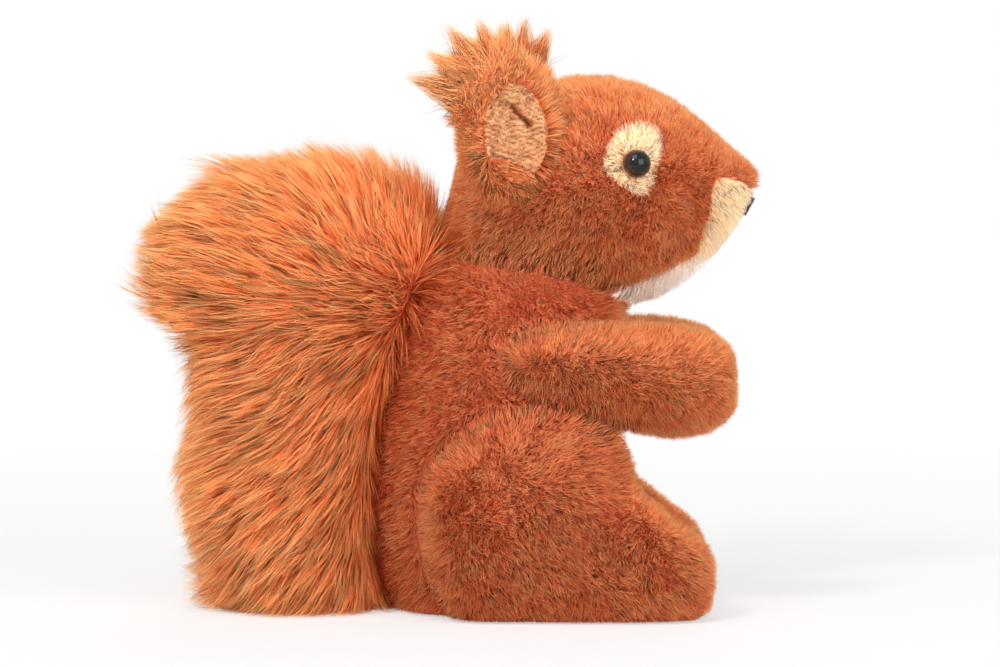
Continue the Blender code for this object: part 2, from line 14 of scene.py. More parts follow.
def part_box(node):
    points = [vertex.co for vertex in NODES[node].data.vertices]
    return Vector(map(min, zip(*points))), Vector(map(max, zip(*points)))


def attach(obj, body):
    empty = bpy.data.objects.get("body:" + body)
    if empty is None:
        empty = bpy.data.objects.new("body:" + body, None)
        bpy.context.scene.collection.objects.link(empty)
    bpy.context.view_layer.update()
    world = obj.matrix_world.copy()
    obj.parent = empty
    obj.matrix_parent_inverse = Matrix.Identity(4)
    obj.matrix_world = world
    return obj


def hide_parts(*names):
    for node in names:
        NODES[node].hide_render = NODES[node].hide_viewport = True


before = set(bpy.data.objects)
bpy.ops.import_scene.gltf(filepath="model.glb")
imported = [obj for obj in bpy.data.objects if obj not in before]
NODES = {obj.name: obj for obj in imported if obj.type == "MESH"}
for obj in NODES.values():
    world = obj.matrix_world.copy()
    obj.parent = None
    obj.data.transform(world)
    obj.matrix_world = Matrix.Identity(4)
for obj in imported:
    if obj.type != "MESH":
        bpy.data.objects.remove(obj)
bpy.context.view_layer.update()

MM = 0.001
# The map that colours the hair: U from a dark to a light strand, V from root to tip, darker towards the root
# partly with painted shade of the pile's depth
UV_NAME = "OFBake"
# Which way each side of the toy lies along Y
SIDES = {"right": -1, "left": 1}
# The lowest that any hair comes over the ground
FLOOR = 0.4 * MM
# How far from a neighbour the pile starts to thin out to nothing at the seam
SEAM_REACH = 7.0 * MM
# Nearer to a neighbour than this, no hair is rooted
TOUCH = 0.45 * MM
# V of the cloth between the hairs
CLOTH_V = 0.06
# Each hair's width is between these shares of the pile's
WIDTH_LEAST = 0.7
WIDTH_RANGE = 0.6


def unit(vectors):
    """The vectors with length 1."""
    return vectors / np.maximum(np.linalg.norm(vectors, axis=-1, keepdims=True), 1e-12)


def noise(points, cell, seed):
    """Smooth noise from -1 to 1 at the points, with cells of this size."""
    table = np.random.default_rng(seed).uniform(-1, 1, 4096)
    spot = points / cell
    base = np.floor(spot).astype(np.int64)
    share = spot - base
    share = share * share * (3 - 2 * share)
    total = np.zeros(len(points))
    for corner in range(8):
        step = np.array([corner & 1, corner >> 1 & 1, corner >> 2 & 1])
        weight = np.prod(np.where(step, share, 1 - share), axis=1)
        place = (base + step) * np.array([73856093, 19349663, 83492791])
        total += weight * table[(place[:, 0] ^ place[:, 1] ^ place[:, 2]) & 4095]
    return total


def noise_field(points, cell, seed):
    """Smooth vectors, each of whose parts is such noise."""
    return np.stack([noise(points, cell, seed + 101 * k) for k in range(3)], axis=1)


def numbers(items, what, kind, wide):
    """One attribute of all these mesh items, as rows of this width."""
    found = np.empty(len(items) * wide, kind)
    items.foreach_get(what, found)
    return found.reshape(-1, wide) if wide > 1 else found


def arrays(mesh):
    """(points, triangles, vertex normals) of a mesh."""
    mesh.calc_loop_triangles()
    points = numbers(mesh.vertices, "co", np.float32, 3).astype(float)
    faces = numbers(mesh.loop_triangles, "vertices", np.int32, 3)
    normals = numbers(mesh.vertices, "normal", np.float32, 3).astype(float)
    return points, faces, normals


def welded(names):
    """One mesh of these CAD nodes, with the corners that the file keeps twice joined again."""
    shape = bmesh.new()
    for name in names:
        shape.from_mesh(NODES[name].data)
    bmesh.ops.remove_doubles(shape, verts=shape.verts, dist=1e-6)
    mesh = bpy.data.meshes.new(names[0])
    shape.to_mesh(mesh)
    shape.free()
    return mesh


def remeshed(mesh, steps):
    """Arrays of the mesh after these modifier steps: ("push", distance), ("voxel", size) or ("smooth", rounds)."""
    obj = bpy.data.objects.new("work", mesh)
    bpy.context.scene.collection.objects.link(obj)
    for kind, value in steps:
        if kind == "push":
            step = obj.modifiers.new("push", "DISPLACE")
            step.strength = value
            step.mid_level = 0.0
        elif kind == "voxel":
            step = obj.modifiers.new("voxel", "REMESH")
            step.mode = "VOXEL"
            step.voxel_size = value
        else:
            step = obj.modifiers.new("smooth", "SMOOTH")
            step.factor = 0.5
            step.iterations = value
    graph = bpy.context.evaluated_depsgraph_get()
    made = bpy.data.meshes.new_from_object(obj.evaluated_get(graph))
    result = arrays(made)
    bpy.data.objects.remove(obj)
    bpy.data.meshes.remove(made)
    return result


TREES = {}


def tree_of(name):
    """The search tree of a CAD node's faces."""
    if name not in TREES:
        points, faces, _ = arrays(NODES[name].data)
        TREES[name] = BVHTree.FromPolygons(points.tolist(), faces.tolist())
    return TREES[name]


def nearest_on(name, points):
    """(places, normals, distances) of the node's face nearest to each point."""
    tree = tree_of(name)
    found = [tree.find_nearest(Vector(point)) for point in points]
    places = np.array([hit[0] for hit in found]).reshape(-1, 3)
    normals = np.array([hit[1] for hit in found]).reshape(-1, 3)
    return places, normals, np.array([hit[3] for hit in found])


def distance_to(name, points):
    return nearest_on(name, points)[2]


def bell(gap, reach):
    """1 where the gap is 0, and fading to 0 beyond this reach."""
    return np.exp(-((gap / reach) ** 2))


def along_skin(vectors, normal):
    """What is left of the vectors without their part along the normal."""
    return vectors - normal * np.sum(vectors * normal, axis=1)[:, None]


def face_turns(points, faces):
    """(corners, cross products) of the faces. A cross product is twice as long as its face's area is large."""
    corners = points[faces]
    return corners, np.cross(corners[:, 1] - corners[:, 0], corners[:, 2] - corners[:, 0])


def ease(share):
    """From 0 to 1 with a soft start and end, and flat outside them."""
    share = np.clip(share, 0, 1)
    return share * share * (3 - 2 * share)


class Skin:
    """A smooth skin over CAD nodes: its outer points, and its inner ones a pile's depth below them.

    room is each point's distance to the nearest neighbour. Where that neighbour is a joined one, toward is the
    way to it and mate its normal. A press moves the cloth inwards by its depth about its middle."""

    def __init__(self, names, voxel, rounds, insets, beside=(), joined=(), steps=None, presses=()):
        steps = steps or [("push", 0.3 * MM), ("voxel", voxel), ("smooth", rounds), ("push", -0.3 * MM)]
        self.outer, self.faces, self.normals = remeshed(welded(names), steps)
        self.away = np.stack([distance_to(name, self.outer) for name in names], axis=1)
        near = np.exp(-self.away / (0.8 * MM))
        inset = near @ np.array(insets) / np.maximum(near.sum(1), 1e-9)
        # Beside a neighbour the skin rises to the solid's face, so that no gap opens between the two
        self.room = np.full(len(self.outer), 1.0)
        self.toward = np.zeros_like(self.outer)
        self.mate = self.normals.copy()
        for name in beside:
            places, normals, gaps = nearest_on(name, self.outer)
            closer = gaps < self.room
            self.room[closer] = gaps[closer]
            if name in joined:
                self.toward[closer] = unit(places - self.outer)[closer]
                self.mate[closer] = normals[closer]
            else:
                self.toward[closer] = 0
                self.mate[closer] = self.normals[closer]
        inset *= ease(self.room / SEAM_REACH) * (0.25 + 0.75 * ease(self.outer[:, 2] / (9 * MM)))
        for middle, reach, depth in presses:
            inset += depth * np.exp(-np.sum((self.outer - np.array(middle)) ** 2, axis=1) / reach**2)
        self.inner = self.outer - self.normals * inset[:, None]

    def drop(self, hidden):
        """Leaves out the faces whose corners are all among these hidden points."""
        self.faces = self.faces[~hidden[self.faces].all(1)]

    def scatter(self, count, seed):
        """Roots spread evenly over the skin: a dict of their inner and outer points, normals and nearest node."""
        rng = np.random.default_rng(seed)
        _, turns = face_turns(self.outer, self.faces)
        total = np.cumsum(np.linalg.norm(turns, axis=1))
        picks = np.searchsorted(total, (np.arange(count) + rng.random(count)) / count * total[-1])
        picks = np.minimum(picks, len(total) - 1)
        a = rng.random(count)
        b = rng.random(count)
        over = a + b > 1
        a[over] = 1 - a[over]
        b[over] = 1 - b[over]
        share = np.stack([1 - a - b, a, b], axis=1)[:, :, None]
        held = self.faces[picks]
        return {
            "root": (self.inner[held] * share).sum(1),
            "outer": (self.outer[held] * share).sum(1),
            "normal": unit((self.normals[held] * share).sum(1)),
            "label": (self.away[held] * share).sum(1).argmin(1),
            "room": (self.room[held] * share[:, :, 0]).sum(1),
            "toward": (self.toward[held] * share).sum(1),
            "mate": unit((self.mate[held] * share).sum(1)),
        }

    def patch(self, label, turned=False):
        """The skin's faces nearest to one node, as a coat at the foot of its pile. Turned takes the light by the
        inner skin's own relief."""
        owner = self.away[self.faces].mean(1).argmin(1)
        faces = self.faces[owner == label]
        used, index = np.unique(faces, return_inverse=True)
        points = self.inner[used]
        points[:, 2] = np.maximum(points[:, 2], FLOOR)
        tone = 0.35 + 0.15 * noise(points, 3 * MM, 5)
        normals = self.normals[used]
        index = index.reshape(-1, 3)
        if turned:
            _, tilt = face_turns(points, index)
            normals = np.zeros_like(points)
            for corner in range(3):
                np.add.at(normals, index[:, corner], tilt)
            normals = unit(normals)
        return {
            "points": points,
            "faces": index,
            "uv": np.stack([tone, np.full(len(used), CLOTH_V)], axis=1),
            "normals": normals,
            "used": used,
        }


def thin_out(roots, keep):
    """The roots that are kept, with all that is known of them."""
    return {key: value[keep] for key, value in roots.items()}


def clear_of(roots, names, room):
    """Leaves out roots that lie within this room of a neighbour, where no pile would show."""
    keep = np.ones(len(roots["outer"]), bool)
    for name in names:
        low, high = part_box(name)
        inside = np.all(roots["outer"] > np.array(low) - room, axis=1)
        inside &= np.all(roots["outer"] < np.array(high) + room, axis=1)
        spots = np.flatnonzero(inside & keep)
        keep[spots] = distance_to(name, roots["outer"][spots]) > room
    return thin_out(roots, keep)


def gather(roots, spacing, seed):
    """(the root that leads each root's lock, the number of that lock)."""
    rng = np.random.default_rng(seed)
    order = rng.permutation(len(roots))
    grid = {}
    for index in order:
        cell = tuple(np.floor(roots[index] / spacing).astype(int))
        grid.setdefault(cell, index)
    leads = np.array(sorted(grid.values()))
    tree = KDTree(len(leads))
    for number, index in enumerate(leads):
        tree.insert(Vector(roots[index]), number)
    tree.balance()
    owner = np.array([tree.find(Vector(point))[1] for point in roots])
    return leads[owner], owner


def blades(root, normal, aim, length, width, bend, tone, segments, seed, taper=0.8, soft=0.3, wave=0.0):
    """Tapered hairs: each starts at its root, runs along aim for length and is drawn aside by bend at its tip,
    and by wave to one side and then the other on its way."""
    count = len(root)
    rng = np.random.default_rng(seed)
    side = unit(np.cross(aim, rng.normal(size=(count, 3))))
    shade = unit(normal + soft * rng.normal(size=(count, 3)))
    rows = []
    coords = []
    for step in range(segments + 1):
        t = step / segments
        middle = root + aim * (length * t)[:, None] + bend * t * t + wave * (t * math.sin(math.tau * t))
        half = side * (width * (1 - t) ** taper / 2)[:, None]
        for point in (middle - half, middle + half) if step < segments else (middle,):
            rows.append(point)
            coords.append(np.stack([tone, np.full(count, 0.98 * t)], axis=1))
    each = len(rows)
    points = np.stack(rows, axis=1).reshape(-1, 3)
    points[:, 2] = np.maximum(points[:, 2], FLOOR)
    faces = []
    for step in range(segments - 1):
        low = 2 * step
        faces += [(low, low + 1, low + 3), (low, low + 3, low + 2)]
    faces.append((2 * segments - 2, 2 * segments - 1, 2 * segments))
    pattern = np.array(faces)
    return {
        "points": points,
        "faces": (np.arange(count)[:, None, None] * each + pattern).reshape(-1, 3),
        "uv": np.stack(coords, axis=1).reshape(-1, 2),
        "normals": np.repeat(shade, each, axis=0),
    }


def build(name, coats, material, nodes):
    """A stuffed piece of the object from its coats, in place of these CAD nodes."""
    shift = np.cumsum([0] + [len(coat["points"]) for coat in coats])
    points = np.concatenate([coat["points"] for coat in coats]).astype(np.float32)
    faces = np.concatenate([coat["faces"] + move for coat, move in zip(coats, shift)]).astype(np.int32)
    uv = np.concatenate([coat["uv"] for coat in coats])
    uv = np.clip(uv, 0.01, 0.99).astype(np.float32)
    normals = np.concatenate([coat["normals"] for coat in coats])
    mesh = bpy.data.meshes.new(name)
    mesh.vertices.add(len(points))
    mesh.vertices.foreach_set("co", points.ravel())
    mesh.loops.add(faces.size)
    mesh.loops.foreach_set("vertex_index", faces.ravel())
    mesh.polygons.add(len(faces))
    mesh.polygons.foreach_set("loop_start", np.arange(0, faces.size, 3, dtype=np.int32))
    mesh.update(calc_edges=True)
    mesh.shade_smooth()
    layer = mesh.uv_layers.new(name=UV_NAME)
    layer.uv.foreach_set("vector", uv[faces.ravel()].ravel())
    mesh.normals_split_custom_set_from_vertices(normals)
    mesh.materials.append(material)
    obj = bpy.data.objects.new(name, mesh)
    bpy.context.scene.collection.objects.link(obj)
    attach(obj, "root")
    if nodes:
        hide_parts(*nodes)


def ramp(tree, factor, stops):
    """A colour ramp with these (place, colour) stops, driven by factor."""
    node = tree.nodes.new("ShaderNodeValToRGB")
    elements = node.color_ramp.elements
    while len(elements) < len(stops):
        elements.new(0.5)
    for element, (place, colour) in zip(elements, stops):
        element.position = place
        element.color = (*colour, 1.0)
    tree.links.new(factor, node.inputs["Fac"])
    return node.outputs["Color"]


def pile_material(name, dark, light):
    """Hair coloured from root to tip by the map's V, between a dark and a light strand by its U. The darker foot
    of each hair is partly its own colour and partly painted shade of the pile's depth.
    """
    material = bpy.data.materials.new(name)
    material.use_nodes = True
    tree = material.node_tree
    tree.nodes.clear()
    place = tree.nodes.new("ShaderNodeUVMap")
    place.uv_map = UV_NAME
    parts = tree.nodes.new("ShaderNodeSeparateXYZ")
    tree.links.new(place.outputs["UV"], parts.inputs["Vector"])
    mix = tree.nodes.new("ShaderNodeMix")
    mix.data_type = "RGBA"
    tree.links.new(parts.outputs["X"], mix.inputs["Factor"])
    tree.links.new(ramp(tree, parts.outputs["Y"], dark), mix.inputs["A"])
    tree.links.new(ramp(tree, parts.outputs["Y"], light), mix.inputs["B"])
    front = tree.nodes.new("ShaderNodeBsdfDiffuse")
    back = tree.nodes.new("ShaderNodeBsdfTranslucent")
    both = tree.nodes.new("ShaderNodeAddShader")
    colour = [out for out in mix.outputs if out.type == "RGBA"][0]
    for shader in (front, back):
        tree.links.new(colour, shader.inputs["Color"])
    tree.links.new(front.outputs["BSDF"], both.inputs[0])
    tree.links.new(back.outputs["BSDF"], both.inputs[1])
    out = tree.nodes.new("ShaderNodeOutputMaterial")
    tree.links.new(both.outputs["Shader"], out.inputs["Surface"])
    return material


# The first stop is painted shade, which the hair takes only in the folds where the body and the tail meet. From
# the second stop on, the hair grows lighter towards its tip, partly its own colour and partly painted shade of the
# pile's depth
RUSSET_PILE = pile_material(
    "russet_pile",
    [
        (0.0, (0.15, 0.032, 0.017)),
        (0.05, (0.42, 0.108, 0.052)),
        (0.5, (0.57, 0.166, 0.076)),
        (1.0, (0.69, 0.290, 0.120)),
    ],
    [
        (0.0, (0.17, 0.040, 0.020)),
        (0.05, (0.50, 0.165, 0.074)),
        (0.5, (0.65, 0.310, 0.130)),
        (1.0, (0.75, 0.52, 0.235)),
    ],
)
TAIL_PILE = pile_material(
    "tail_pile",
    [
        (0.0, (0.16, 0.035, 0.018)),
        (0.05, (0.52, 0.145, 0.056)),
        (0.5, (0.67, 0.24, 0.090)),
        (1.0, (0.76, 0.39, 0.148)),
    ],
    [
        (0.0, (0.18, 0.045, 0.020)),
        (0.05, (0.64, 0.24, 0.090)),
        (0.45, (0.78, 0.41, 0.163)),
        (1.0, (0.85, 0.60, 0.29)),
    ],
)
AMBER_PILE = pile_material(
    "amber_pile",
    [(0.0, (0.44, 0.115, 0.048)), (0.5, (0.59, 0.21, 0.083)), (1.0, (0.70, 0.34, 0.135))],
    [(0.0, (0.56, 0.20, 0.080)), (0.45, (0.70, 0.37, 0.155)), (1.0, (0.80, 0.53, 0.26))],
)
FAWN_PILE = pile_material(
    "fawn_pile",
    [(0.0, (0.20, 0.075, 0.034)), (0.5, (0.50, 0.27, 0.130)), (1.0, (0.64, 0.42, 0.215))],
    [(0.0, (0.33, 0.15, 0.066)), (0.5, (0.60, 0.38, 0.195)), (1.0, (0.72, 0.53, 0.31))],
)
CREAM_PILE = pile_material(
    "cream_pile",
    [(0.0, (0.60, 0.43, 0.28)), (0.5, (0.76, 0.64, 0.45)), (1.0, (0.82, 0.74, 0.56))],
    [(0.0, (0.70, 0.57, 0.40)), (0.5, (0.83, 0.75, 0.59)), (1.0, (0.86, 0.81, 0.68))],
)
WHITE_PILE = pile_material(
    "white_pile",
    [(0.0, (0.74, 0.64, 0.56)), (0.5, (0.82, 0.75, 0.68)), (1.0, (0.86, 0.82, 0.76))],
    [(0.0, (0.80, 0.73, 0.66)), (0.5, (0.86, 0.82, 0.77)), (1.0, (0.89, 0.87, 0.83))],
)


def short_pile(
    roots, seed, length, comb, lean, width, lift=0.0, top=0.0, shared_light=0.0, seam_shade=0.0
):
    """Dense short plush: tufts a few hairs wide that lean with the comb and part in places.

    lift makes all of it paler, and top paints light on what faces up. Beside a joined piece shared_light turns its
    shading towards that piece's, and the last argument darkens its tips there with painted shade."""
    rng = np.random.default_rng(seed)
    outer = roots["outer"]
    normal = roots["normal"]
    count = len(outer)
    flow = unit(along_skin(comb, normal))
    tufts = noise_field(outer, 1.6 * MM, seed + 1)
    drift = noise_field(outer, 7 * MM, seed + 5)
    # Next to a joined piece the hairs lean over the seam and take some of its light
    beside = 1 - ease(roots["room"] / SEAM_REACH)
    over = along_skin(roots["toward"], normal)
    aim = normal + flow * lean + 0.27 * tufts + 0.3 * drift + 0.2 * rng.normal(size=(count, 3))
    aim = unit(aim + 1.1 * over * beside[:, None])
    blend = shared_light * (1 - ease(roots["room"] / (2.4 * SEAM_REACH)))[:, None]
    shade = unit(normal * (1 - blend) + roots["mate"] * blend)
    # No hair lies flatter than this
    aim = unit(aim + normal * np.maximum(0, 0.35 - np.sum(aim * normal, axis=1))[:, None])
    long = length * (0.86 + 0.22 * rng.random(count) + 0.12 * noise(outer, 2.2 * MM, seed + 9))
    long *= 1 - 0.35 * beside
    bend = flow * (0.10 * long)[:, None] + 0.1 * MM * rng.normal(size=(count, 3))
    # Slow mottling, then each tuft's own shade
    tone = 0.48 + 0.22 * noise(outer, 6 * MM, seed + 11) + 0.08 * rng.normal(size=count)
    tone += 0.26 * noise(outer, 2.4 * MM, seed + 13) + lift
    # Painted light: what faces up is paler
    tone += top * np.clip(shade[:, 2], 0, 1) ** 1.5
    wide = width * (WIDTH_LEAST + WIDTH_RANGE * rng.random(count))
    coat = blades(roots["root"], shade, aim, long, wide, bend, tone, 1, seed + 17, soft=0.12)
    # Painted shade: in the fold beside the tail the hairs take the ramp's dark first stop, and beside a joined
    # piece their tips are darkened
    fold = bell(distance_to("tail", outer), 2.4 * MM)
    coat["uv"][:, 1] *= np.repeat((1 - 0.93 * fold) * (1 - seam_shade * blend[:, 0]), 3)
    return coat


# The solid's locks end farther from the ear's middle than this, and this far from each other
LOCK_REACH = 27 * MM
LOCK_APART = math.radians(7)


def principal(name):
    """(middle, longest, next, shortest axis) of a node's faces."""
    points, faces, _ = arrays(NODES[name].data)
    corners, turns = face_turns(points, faces)
    weight = np.linalg.norm(turns, axis=1)
    centres = corners.mean(1)
    middle = (centres * weight[:, None]).sum(0) / weight.sum()
    spread = centres - middle
    _, axes = np.linalg.eigh((spread * weight[:, None]).T @ spread)
    return middle, axes[:, 2], axes[:, 1], axes[:, 0]


def ear(side):
    """The ear's place and axes, and where the solid's locks end: their angle from upright, reach and depth."""
    sign = SIDES[side]
    middle, tall, _, _ = principal(side + "_ear_lining")
    tall = tall if tall[2] > 0 else -tall
    out = np.array([0.22, sign * 1.0, 0.0])
    out = unit(out - tall * (out @ tall))
    wide = np.cross(tall, out) * sign
    points, _, _ = arrays(NODES[side + "_ear"].data)
    local = points - middle
    radial = np.stack([local @ wide, local @ tall, local @ out], axis=1)
    reach = np.hypot(radial[:, 0], radial[:, 1])
    angle = np.arctan2(radial[:, 0], radial[:, 1])
    tips = []
    for index in np.argsort(-reach):
        if reach[index] < LOCK_REACH:
            break
        if all(abs(angle[index] - angle[other]) > LOCK_APART for other in tips):
            tips.append(index)
    tips = sorted(tips, key=lambda index: angle[index])
    return {
        "middle": middle,
        "axes": np.stack([wide, tall, out]),
        "tip_angle": angle[tips],
        "tip_reach": reach[tips],
        "tip_out": radial[tips, 2],
    }


def ear_local(found, points):
    """Points in the ear's own axes: towards the back, up, and out from the head."""
    return (points - found["middle"]) @ found["axes"].T


def ear_world(found, local):
    """The way back from ear_local."""
    return local @ found["axes"] + found["middle"]


EARS = {side: ear(side) for side in SIDES}

# Head, with its panels. Of each: how deep the cloth lies, then the pile's material, slot, length, lean and width
HEAD_PARTS = {
    "head": (3.2, RUSSET_PILE, "russet_plush", 4.2, 0.26, 0.36),
    "throat_panel": (2.6, WHITE_PILE, "white_plush", 4.2, 0.7, 0.38),
    "muzzle": (2.0, CREAM_PILE, "cream_plush", 3.4, 0.45, 0.34),
    "nose": (0.6, None, None, 0, 0, 0),
    "right_eye_patch": (1.4, CREAM_PILE, "cream_plush", 2.6, 0.55, 0.32),
    "left_eye_patch": (1.4, CREAM_PILE, "cream_plush", 2.6, 0.55, 0.32),
}
HEAD_BLADES = 158000
HEAD_LIFTS = {"throat_panel": 0.4, "muzzle": 0.1, "right_eye_patch": 0.1, "left_eye_patch": 0.1}
head_skin = Skin(
    list(HEAD_PARTS),
    1.6 * MM,
    6,
    [part[0] * MM for part in HEAD_PARTS.values()],
    ["torso", "tail", "right_ear", "left_ear"],
    ["torso"],
)
for found in EARS.values():
    # The part of the head that shows in an ear's cup is left to the ear
    local = ear_local(found, head_skin.outer)
    in_cup = np.hypot(local[:, 0] / (16 * MM), local[:, 1] / (21 * MM)) < 1
    head_skin.drop(in_cup & (local[:, 2] > -7 * MM))
head_roots = clear_of(head_skin.scatter(HEAD_BLADES, 11), ["torso"], TOUCH)
head_low, head_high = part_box("head")
nose_low, nose_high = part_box("nose")
NOSE_MIDDLE = (np.array(nose_low) + np.array(nose_high)) / 2
SNOUT_TIP = np.array([head_high.x, 0, nose_high[2] + 3 * MM])


def head_comb(points):
    """Back from the nose and, lower on the cheeks, down."""
    level = np.clip((points[:, 2] - head_low.z) / (head_high.z - head_low.z), 0, 1)
    down = np.array([0, 0, -0.9]) * (1 - level)[:, None] + np.array([0, 0, -0.15])
    return unit(points - NOSE_MIDDLE) + down


for number, (name, (_, material, slot, length, lean, width)) in enumerate(HEAD_PARTS.items()):
    if name == "nose":
        continue
    own = thin_out(head_roots, head_roots["label"] == number)
    places = own["outer"]
    reach = np.full(len(places), length * MM)
    comb = head_comb(places)
    lift = HEAD_LIFTS.get(name)
    top = 0.0
    if name.endswith("eye_patch"):
        eye_low, eye_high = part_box(name.replace("_patch", ""))
        comb = places - (np.array(eye_low) + np.array(eye_high)) / 2
    elif name == "muzzle":
        comb = np.array([-0.5, 0, -1.0]) + 0 * places
        # Clipped towards the nose
        reach *= 0.75 + 0.25 * ease(distance_to("nose", places) / (4.5 * MM))
    elif name == "head":
        # The pile is short on the snout, but for the brush at its tip, and is clipped beside the eyes
        reach *= 0.70 + 0.30 * np.clip((NOSE_MIDDLE[0] - places[:, 0]) / (32 * MM), 0, 1)
        reach *= 1 + 0.55 * bell(np.linalg.norm(places - SNOUT_TIP, axis=1), 12 * MM)
        for side in SIDES:
            reach *= 0.6 + 0.4 * np.clip(distance_to(side + "_eye_patch", places) / (5 * MM), 0, 1)
        # The lower cheeks are painted paler than the neck, painted light that lifts the shade they lie in as they
        # face down
        lift = 0.20 * ease((132 * MM - places[:, 2]) / (28 * MM)) * ease((places[:, 0] - 20 * MM) / (20 * MM))
        # Painted light on the head's upper side
        top = 0.26
    coat = short_pile(own, 300 + number, reach, comb, lean, width * MM, lift, top, shared_light=0.5)
    build(name + "_pile", [head_skin.patch(number), coat], material, [name])


def presses_at(table, signs):
    """Presses from rows of x, y, z, reach and depth inwards in millimetres, on these sides."""
    return [
        ((x * MM, sign * y * MM, z * MM), reach * MM, depth * MM)
        for x, y, z, reach, depth in table
        for sign in signs
    ]


# Torso, with its panels. Of each: how deep the cloth lies and how long the pile is
TORSO_PARTS = {"torso": (3.2, 4.6), "belly_panel": (6.6, 3.2), "seat_panel": (0.9, 1.2)}
LIMBS = ["right_arm", "left_arm", "right_leg", "left_leg"]
TORSO_BESIDE = ["head", *LIMBS, "tail"]
TORSO_BLADES = 115000
# The hip swells towards the haunch and the shoulder towards the arm
SWELLS = [(-17, 36, 32, 15, -3.0), (2, 34, 88, 11, -2.2)]
torso_skin = Skin(
    list(TORSO_PARTS),
    1.8 * MM,
    6,
    [inset * MM for inset, _ in TORSO_PARTS.values()],
    TORSO_BESIDE,
    LIMBS,
    presses=presses_at(SWELLS, SIDES.values()),
)
torso_roots = clear_of(torso_skin.scatter(TORSO_BLADES, 21), TORSO_BESIDE, TOUCH)
for number, (name, (_, length)) in enumerate(TORSO_PARTS.items()):
    own = thin_out(torso_roots, torso_roots["label"] == number)
    comb = np.array([-0.25, 0, -1.0]) + 0 * own["outer"]
    reach = length * MM
    lift, material, slot = 0.1, WHITE_PILE, "white_plush"
    if name == "torso":
        # The seat's own pile is pressed flat
        reach = reach * np.clip(0.3 + own["outer"][:, 2] / (6 * MM), 0.3, 1)
        lift, material, slot = -0.07, RUSSET_PILE, "russet_plush"
    coat = short_pile(own, 400 + number, reach, comb, 0.28, 0.38 * MM, lift)
    build(name + "_pile", [torso_skin.patch(number), coat], material, [name])


def limb(side, part, count, comb_of, neighbours, seed, presses):
    """One arm or leg, sewn to the torso."""
    name = side + part
    sign = SIDES[side]
    skin = Skin([name], 1.6 * MM, 6, [3.2 * MM], neighbours, ["torso"], presses=presses_at(presses, [sign]))
    roots = clear_of(skin.scatter(count, seed), neighbours, TOUCH)
    length = 4.6 * MM * np.clip(0.35 + roots["outer"][:, 2] / (7 * MM), 0.35, 1)
    # By the shoulder and the rump the limb takes the light as the torso's side does, and its tips there are
    # darkened with painted shade
    roots["mate"] = np.tile([0, sign, 0.1], (len(roots["root"]), 1))
    comb = comb_of(roots["outer"])
    # Painted light: top makes what faces up paler
    coat = short_pile(roots, seed, length, comb, 0.24, 0.38 * MM, top=0.24, shared_light=0.85, seam_shade=0.4)
    build(name + "_pile", [skin.patch(0), coat], RUSSET_PILE, [name])


def arm_comb(points):
    """Towards the paw, and a little down."""
    return np.array([1.0, 0, -0.35]) + 0 * points


def leg_comb(points):
    """Forward over the top of the thigh and down its side, with slow turns."""
    return np.array([0.5, 0, -0.6]) + 0.7 * noise_field(points, 26 * MM, 67)


# Where the stuffing fills the cloth out or leaves it slack
ARM_PRESSES = [(65, 36, 60, 17, -1.6), (88, 34, 82, 12, 1.0), (12, 40, 88, 10, 2.0)]
LEG_PRESSES = [(68, 38, 38, 13, 5.5), (51, 38, 57, 9, -2.8), (-11, 44, 32, 13, 2.2)]
ARM_BLADES = 54000
LEG_BLADES = 76000
for number, side in enumerate(SIDES):
    limb(side, "_arm", ARM_BLADES, arm_comb, ["torso", "head", side + "_leg"], 51 + number, ARM_PRESSES)
    limb(side, "_leg", LEG_BLADES, leg_comb, ["torso", side + "_arm"], 61 + number, LEG_PRESSES)

# Tail. Its hair stands on cloth that lies this deep, on a coarser skin
TAIL_INSET = 8.0 * MM
TAIL_VOXEL = 2.4 * MM
tail_skin = Skin(
    ["tail"],
    TAIL_VOXEL,
    0,
    [0.0],
    steps=[("voxel", TAIL_VOXEL), ("smooth", 14), ("push", -TAIL_INSET), ("voxel", TAIL_VOXEL), ("smooth", 12)],
)
# The tail's front side, against the back, keeps its place and its foot settles on the ground
ahead = np.clip((tail_skin.normals[:, 0] - 0.1) / 0.6, 0, 1) * 0.6 * TAIL_INSET
settle = 0.85 * TAIL_INSET * ease((30 * MM - tail_skin.inner[:, 2]) / (22 * MM))
for points in (tail_skin.inner, tail_skin.outer):
    points[:, 0] += ahead
    points[:, 2] -= settle
# Where the hair parts, by the crease at the back
TAIL_WHORL = np.array([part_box("torso")[0].x + 30 * MM, 0, 0.60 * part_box("tail")[1].z])


def tail_comb(points):
    """Up and back from the crease in the curl, and back and down from the line against the back below it."""
    away = points - TAIL_WHORL
    below = away[:, 2] < 0
    away[:, 2] *= np.where(below, 0.42, 0.95)
    away[:, 0] -= np.where(below, 10 * MM, 0)
    away[:, 1] *= 0.3
    swirl = 0.30 * noise_field(points, 22 * MM, 71)
    return unit(away) + swirl + np.array([0, 0, -0.25]) * below[:, None]


